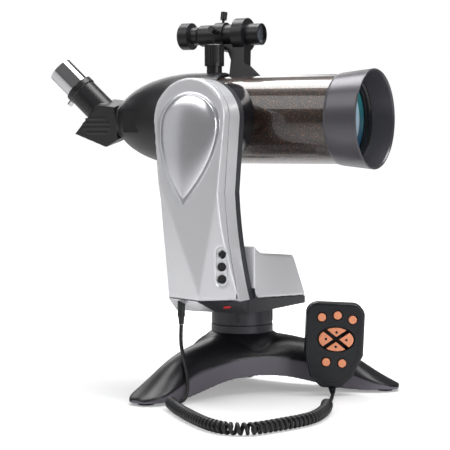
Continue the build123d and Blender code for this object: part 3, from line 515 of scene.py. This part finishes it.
def surface(name, color, rough, drift=0.12, smear=0.12, grain=2500.0, depth=0.1, metal=0.0, **settings):
    """A plastic, paint or metal finish over the shared moulding group."""
    material, tree, shader = new_material(name)
    skin = tree.nodes.new("ShaderNodeGroup")
    skin.node_tree = MOULDING
    skin.inputs["Color"].default_value = (*color, 1)
    skin.inputs["Drift"].default_value = drift
    skin.inputs["Roughness"].default_value = rough
    skin.inputs["Smear"].default_value = smear
    skin.inputs["Grain Size"].default_value = grain
    skin.inputs["Grain Depth"].default_value = depth
    tree.links.new(skin.outputs["Color"], shader.inputs["Base Color"])
    tree.links.new(skin.outputs["Roughness"], shader.inputs["Roughness"])
    tree.links.new(skin.outputs["Normal"], shader.inputs["Normal"])
    shader.inputs["Metallic"].default_value = metal
    for socket, value in settings.items():
        shader.inputs[socket.replace("_", " ")].default_value = value
    return material


def paint_light_on_flanks(material, top, lit_flank):
    """Paints light onto the upright and under faces of a moulding: they get a lighter colour than its
    top, by how far a face looks up.
    """
    tree = material.node_tree
    skin = next(node for node in tree.nodes if node.type == "GROUP")
    facing = tree.nodes.new("ShaderNodeNewGeometry")
    parts = tree.nodes.new("ShaderNodeSeparateXYZ")
    tilt = add_node(tree, "ShaderNodeMapRange")
    tilt.inputs["From Min"].default_value = FLANK_LOOKS_UP
    tilt.inputs["From Max"].default_value = TOP_LOOKS_UP
    mix = colour_mix(tree, tilt.outputs["Result"])
    mix.inputs[MIX_FIRST].default_value = (*lit_flank, 1)
    mix.inputs[MIX_SECOND].default_value = (*top, 1)
    tree.links.new(facing.outputs["Normal"], parts.inputs[0])
    tree.links.new(parts.outputs["Z"], tilt.inputs["Value"])
    tree.links.new(mix.outputs[MIX_RESULT], skin.inputs["Color"])


def flake_enamel():
    """Brown-black enamel full of bronze flake under clear lacquer."""
    material, tree, shader = new_material("flake_enamel")
    flakes = tree.nodes.new("ShaderNodeGroup")
    flakes.node_tree = FLAKES
    flakes.inputs["Size"].default_value = FLAKE_DENSITY
    flakes.inputs["Amount"].default_value = FLAKE_SHARE
    skin = tree.nodes.new("ShaderNodeGroup")
    skin.node_tree = MOULDING
    skin.inputs["Color"].default_value = (0.010, 0.006, 0.005, 1)
    skin.inputs["Roughness"].default_value = 0.34
    skin.inputs["Grain Depth"].default_value = 0.0
    mix = colour_mix(tree, flakes.outputs["Mask"])
    tree.links.new(skin.outputs["Color"], mix.inputs[MIX_FIRST])
    tree.links.new(flakes.outputs["Sparkle"], mix.inputs[MIX_SECOND])
    tree.links.new(mix.outputs[MIX_RESULT], shader.inputs["Base Color"])
    tree.links.new(flakes.outputs["Mask"], shader.inputs["Metallic"])
    tree.links.new(skin.outputs["Roughness"], shader.inputs["Roughness"])
    shader.inputs["Coat Weight"].default_value = 1.0
    shader.inputs["Coat Roughness"].default_value = 0.05
    shader.inputs["Coat IOR"].default_value = 1.6
    return material


def coated_glass(name, color):
    """Clear glass with a coloured anti-reflection coating that thins out unevenly."""
    material, tree, shader = new_material(name)
    place = tree.nodes.new("ShaderNodeTexCoord")
    drift = add_node(tree, "ShaderNodeTexNoise", Scale=25.0, Detail=1.0)
    tree.links.new(place.outputs["Object"], drift.inputs["Vector"])
    ramp = tree.nodes.new("ShaderNodeValToRGB")
    ramp.color_ramp.elements[0].color = (*[c * 0.8 for c in color], 1)
    ramp.color_ramp.elements[1].color = (*color, 1)
    tree.links.new(drift.outputs["Fac"], ramp.inputs["Fac"])
    tree.links.new(ramp.outputs["Color"], shader.inputs["Base Color"])
    shader.inputs["Roughness"].default_value = 0.02
    shader.inputs["Transmission Weight"].default_value = 0.9
    shader.inputs["IOR"].default_value = GLASS_IOR
    return material


def upright_blend(tree, height, top, bottom):
    """A colour that runs from one shade low on the lens to another high up, for the lens's painted
    reflections.
    """
    ramp = tree.nodes.new("ShaderNodeValToRGB")
    ramp.color_ramp.elements[0].color = (*bottom, 1)
    ramp.color_ramp.elements[1].color = (*top, 1)
    tree.links.new(height, ramp.inputs["Fac"])
    return ramp.outputs["Color"]


def lens_painted_reflection():
    """The front lens: a bright blue disc of painted reflection over a teal one, the coating's colour with
    a painted reflection in it.
    """
    material, tree, shader = new_material("front_lens_painted_reflection")
    place = tree.nodes.new("ShaderNodeTexCoord")
    centre = add_node(tree, "ShaderNodeVectorMath", operation="SUBTRACT")
    centre.inputs[1].default_value = (0, PAINTED_REFLECTION_Y, TUBE_AXIS_Z)
    flat = add_node(tree, "ShaderNodeVectorMath", operation="MULTIPLY")
    flat.inputs[1].default_value = (0, 1, 1)
    reach = add_node(tree, "ShaderNodeVectorMath", operation="LENGTH")
    edge = add_node(tree, "ShaderNodeMapRange")
    edge.inputs["From Min"].default_value = PAINTED_REFLECTION_R + PAINTED_REFLECTION_EDGE
    edge.inputs["From Max"].default_value = PAINTED_REFLECTION_R - PAINTED_REFLECTION_EDGE
    parts = tree.nodes.new("ShaderNodeSeparateXYZ")
    height = add_node(tree, "ShaderNodeMapRange")
    height.inputs["From Min"].default_value = TUBE_AXIS_Z - PAINTED_REFLECTION_R
    height.inputs["From Max"].default_value = TUBE_AXIS_Z + PAINTED_REFLECTION_R
    tree.links.new(place.outputs["Object"], centre.inputs[0])
    tree.links.new(centre.outputs[0], flat.inputs[0])
    tree.links.new(flat.outputs[0], reach.inputs[0])
    tree.links.new(reach.outputs["Value"], edge.inputs["Value"])
    tree.links.new(place.outputs["Object"], parts.inputs[0])
    tree.links.new(parts.outputs["Z"], height.inputs["Value"])
    # Painted reflections: the bright disc and the teal disc round it, each running from one colour low on
    # the lens to another high up.
    painted_bright_reflection = upright_blend(tree, height.outputs["Result"], (0.42, 0.80, 0.92), (0.52, 0.52, 0.68))
    teal_coating_and_reflection = upright_blend(tree, height.outputs["Result"], (0.01, 0.22, 0.22), (0.02, 0.05, 0.14))
    mix = colour_mix(tree, edge.outputs["Result"])
    tree.links.new(teal_coating_and_reflection, mix.inputs[MIX_FIRST])
    tree.links.new(painted_bright_reflection, mix.inputs[MIX_SECOND])
    tree.links.new(mix.outputs[MIX_RESULT], shader.inputs["Base Color"])
    shader.inputs["Roughness"].default_value = 0.08
    shader.inputs["Coat Weight"].default_value = 1.0
    shader.inputs["Coat Roughness"].default_value = 0.02
    return material


# ---- finishes: name, colour, roughness, drift, smear, grain size, grain depth, metal ----
FLANK_LOOKS_UP = 0.02
TOP_LOOKS_UP = 0.22
FLAKE_DENSITY = 1500.0
FLAKE_SHARE = 0.32
GLASS_IOR = 1.52
# Place, size and edge of the bright painted reflection on the front lens.
PAINTED_REFLECTION_Y = -1 * MM
PAINTED_REFLECTION_R = 38 * MM
PAINTED_REFLECTION_EDGE = 0.7 * MM
# Tripod colours: LEG_TOP is the black plastic; the flank colour is painted light, the lit look of its
# upright and under faces.
LEG_TOP = (0.012, 0.011, 0.014)
LEG_FLANK_PAINTED_LIGHT = (0.15, 0.138, 0.17)
SOFT_COAT = {"Coat_Weight": 0.5, "Coat_Roughness": 0.12}
BRIGHT_COAT = {"Coat_Weight": 0.7, "Coat_Roughness": 0.06}
SILVER = surface("silver_paint", (0.84, 0.84, 0.87), 0.30, 0.04, 0.05, 9000.0, 0.05, 0.4, **SOFT_COAT)
SILVER_BRIGHT = surface(
    "bright_silver", (0.84, 0.84, 0.88), 0.22, 0.03, 0.04, 9000.0, 0.03, 0.85, **BRIGHT_COAT
)
FRAME_PLASTIC = surface("frame_plastic", (0.035, 0.036, 0.042), 0.42, 0.2, 0.15, 2200.0, 0.25)
SATIN_BLACK = surface("satin_black", (0.013, 0.013, 0.015), 0.36, 0.2, 0.15, 2600.0, 0.2)
GLOSS_BLACK = surface("gloss_black", (0.008, 0.008, 0.010), 0.14, 0.15, 0.08, 3000.0, 0.03)
SHADE_GREY = surface("shade_satin", (0.115, 0.11, 0.122), 0.30, 0.1, 0.1, 3000.0, 0.12, 0.5)
INNER_BLACK = surface("inner_matt", (0.02, 0.02, 0.023), 0.62, 0.2, 0.1, 2000.0, 0.3)
RING_GREY = surface("ring_satin", (0.055, 0.055, 0.065), 0.4, 0.15, 0.12, 2600.0, 0.2, 0.2)
TRIPOD_BLACK = surface("tripod_plastic", LEG_TOP, 0.34, 0.25, 0.18, 1500.0, 0.35)
# Painted light: the tripod's upright and under faces are coloured lighter than its top.
paint_light_on_flanks(TRIPOD_BLACK, LEG_TOP, LEG_FLANK_PAINTED_LIGHT)
RUBBER = surface("rubber", (0.02, 0.02, 0.02), 0.75, 0.25, 0.2, 1500.0, 0.4)
CORD_SKIN = surface("cord_sheath", (0.014, 0.014, 0.016), 0.38, 0.2, 0.15, 3500.0, 0.15)
HANDSET = surface("handset_plastic", (0.035, 0.035, 0.040), 0.42, 0.2, 0.15, 2400.0, 0.35)
HANDSET_FACE = surface("handset_face", (0.008, 0.009, 0.013), 0.30, 0.2, 0.1, 2400.0, 0.15)
KEY_ORANGE = surface("key_orange", (1.0, 0.38, 0.20), 0.35, 0.15, 0.1, 3000.0, 0.15)
SWITCH_RED = surface("switch_red", (0.62, 0.03, 0.03), 0.25, 0.1, 0.1, 3000.0, 0.05)
CHROME = surface("chrome", (0.72, 0.72, 0.74), 0.10, 0.03, 0.06, 6000.0, 0.02, 1.0)
STEEL = surface("turned_steel", (0.55, 0.55, 0.57), 0.26, 0.05, 0.12, 5000.0, 0.1, 1.0)
BRASS = surface("brass", (0.70, 0.48, 0.18), 0.24, 0.08, 0.12, 5000.0, 0.1, 1.0)
BOARD = surface("board_green", (0.01, 0.10, 0.035), 0.3, 0.2, 0.1, 1200.0, 0.2)
MIRROR = surface("mirror_coat", (0.90, 0.91, 0.92), 0.02, 0.02, 0.01, 3000.0, 0.0, 1.0)
ENAMEL = flake_enamel()
FRONT_GLASS_PAINTED_REFLECTION = lens_painted_reflection()
CLEAR_GLASS = coated_glass("clear_glass", (0.75, 0.85, 0.95))

FINISHES = {
    "rubber_feet": RUBBER,
    "clamp_bolt": STEEL,
    "azimuth_base_ring": RING_GREY,
    "azimuth_spindle": STEEL,
    "azimuth_worm_wheel": BRASS,
    "spindle_nut": STEEL,
    "handset_front": HANDSET_FACE,
    "handset_back": HANDSET,
    "handset_boot": CORD_SKIN,
    "azimuth_top_ring": RING_GREY,
    "head_frame": FRAME_PLASTIC,
    "arm_side_band": SILVER,
    "port_panel": SILVER,
    "chin_panel": FRAME_PLASTIC,
    "altitude_bush": BRASS,
    "altitude_motor": STEEL,
    "azimuth_motor": STEEL,
    "battery_tray": SATIN_BLACK,
    "circuit_board": BOARD,
    "cord_plug": CORD_SKIN,
    "power_button": SWITCH_RED,
    "azimuth_worm": STEEL,
    "altitude_worm": STEEL,
    "altitude_drum": GLOSS_BLACK,
    "altitude_axle": STEEL,
    "main_tube": ENAMEL,
    "dew_shade": SHADE_GREY,
    "corrector_cell": GLOSS_BLACK,
    "corrector_lens": FRONT_GLASS_PAINTED_REFLECTION,
    "secondary_mirror": INNER_BLACK,
    "rear_housing": SATIN_BLACK,
    "baffle_tube": INNER_BLACK,
    "finder_bracket": SATIN_BLACK,
    "finder_tube": SATIN_BLACK,
    "finder_lenses": CLEAR_GLASS,
    "mirror_cell": SATIN_BLACK,
    "primary_mirror": MIRROR,
    "focus_knob": SATIN_BLACK,
    "diagonal_prism": CLEAR_GLASS,
    "eyepiece_thumbscrew": CHROME,
    "eyepiece": CHROME,
    "eyepiece_lenses": CLEAR_GLASS,
}


def paint(piece, material):
    """Gives a piece this one material."""
    piece.data.materials.clear()
    piece.data.materials.append(material)


for node, material in FINISHES.items():
    nodes[node].material_slots[0].material = material
for cap in caps:
    paint(cap, KEY_ORANGE)
for dot in dots:
    paint(dot, GLOSS_BLACK)
# Black discs painted on the plate over the three jacks: the sockets' own dark rings, and painted shade in
# place of their holes.
paint(jacks, SILVER)
jacks.data.materials.append(GLOSS_BLACK)
for face in jacks.data.polygons:
    near = min((face.center - centre).length for centre in jack_centres)
    face.material_index = 1 if near < JACK_R else 0
paint(cord, CORD_SKIN)
paint(arm_skin, SILVER)
paint(dome, SILVER_BRIGHT)
paint(base_skin, SILVER)
paint(diagonal_skin, SATIN_BLACK)
paint(tripod_skin, TRIPOD_BLACK)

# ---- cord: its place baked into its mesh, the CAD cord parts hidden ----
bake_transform(cord)
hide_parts("cord_lead", "cord_coil", "cord_tail")


# ---- floor and light ----
FLOOR_SIZE = 80
SHADOW_REACH = 0.25
FADE_REACH = 1.1
NEAR_GLOW = 0.30
ROOM_LIGHT = 0.15
WHITE = (1, 1, 1, 1)


def softbox(name, place, target, size, power):
    """A rectangular studio light that faces a point."""
    data = bpy.data.lights.new(name, "AREA")
    data.shape = "RECTANGLE"
    data.size, data.size_y = size
    data.energy = power
    light = bpy.data.objects.new(name, data)
    light.location = place
    light.rotation_euler = (Vector(place) - Vector(target)).to_track_quat("Z", "Y").to_euler()
    scene.collection.objects.link(light)


softbox("key", (-0.8, -1.45, 1.7), (0, -0.05, 0.25), (1.7, 1.2), 12.0)
softbox("low_fill", (-1.35, -1.2, 0.35), (0, -0.1, 0.25), (1.0, 1.2), 1.2)
softbox("top_strip", (0.1, 0.16, 1.3), (0.08, 0, 0.3), (1.5, 0.6), 20.0)
softbox("right_fill", (1.6, -0.7, 0.6), (0.05, 0, 0.28), (0.7, 0.9), 8.0)
softbox("rim", (-0.9, 1.0, 0.8), (0, 0, 0.3), (0.9, 0.7), 4.0)

bpy.ops.object.select_all(action="DESELECT")
bpy.ops.mesh.primitive_plane_add(size=FLOOR_SIZE, location=(0, 0, 0))
floor = bpy.context.view_layer.objects.active
floor.name = "floor"
bpy.ops.object.transform_apply(location=True)
pale = surface("pale_floor", (0.82, 0.82, 0.82), 0.7, 0.01, 0.05, 400.0, 0.05)
tree = pale.node_tree
glow = tree.nodes["Principled BSDF"]
place = tree.nodes.new("ShaderNodeTexCoord")
away = add_node(tree, "ShaderNodeVectorMath", operation="LENGTH")
fade = add_node(tree, "ShaderNodeMapRange")
fade.inputs["From Min"].default_value = SHADOW_REACH
fade.inputs["From Max"].default_value = FADE_REACH
fade.inputs["To Min"].default_value = NEAR_GLOW
seen_from = tree.nodes.new("ShaderNodeLightPath")
shown = add_node(tree, "ShaderNodeMath", operation="MULTIPLY")
tree.links.new(place.outputs["Object"], away.inputs[0])
tree.links.new(away.outputs["Value"], fade.inputs["Value"])
tree.links.new(fade.outputs["Result"], shown.inputs[0])
tree.links.new(seen_from.outputs["Is Camera Ray"], shown.inputs[1])
tree.links.new(shown.outputs[0], glow.inputs["Emission Strength"])
glow.inputs["Emission Color"].default_value = WHITE
paint(floor, pale)

world = bpy.data.worlds.new("studio")
scene.world = world
world.use_nodes = True
sky = world.node_tree
backdrop = sky.nodes["Background"]
backdrop.inputs["Color"].default_value = WHITE
backdrop.inputs["Strength"].default_value = ROOM_LIGHT
seen = sky.nodes.new("ShaderNodeBackground")
seen.inputs["Color"].default_value = WHITE
ray = sky.nodes.new("ShaderNodeLightPath")
choice = sky.nodes.new("ShaderNodeMixShader")
sky.links.new(ray.outputs["Is Camera Ray"], choice.inputs["Fac"])
sky.links.new(backdrop.outputs[0], choice.inputs[1])
sky.links.new(seen.outputs[0], choice.inputs[2])
sky.links.new(choice.outputs[0], sky.nodes["World Output"].inputs["Surface"])
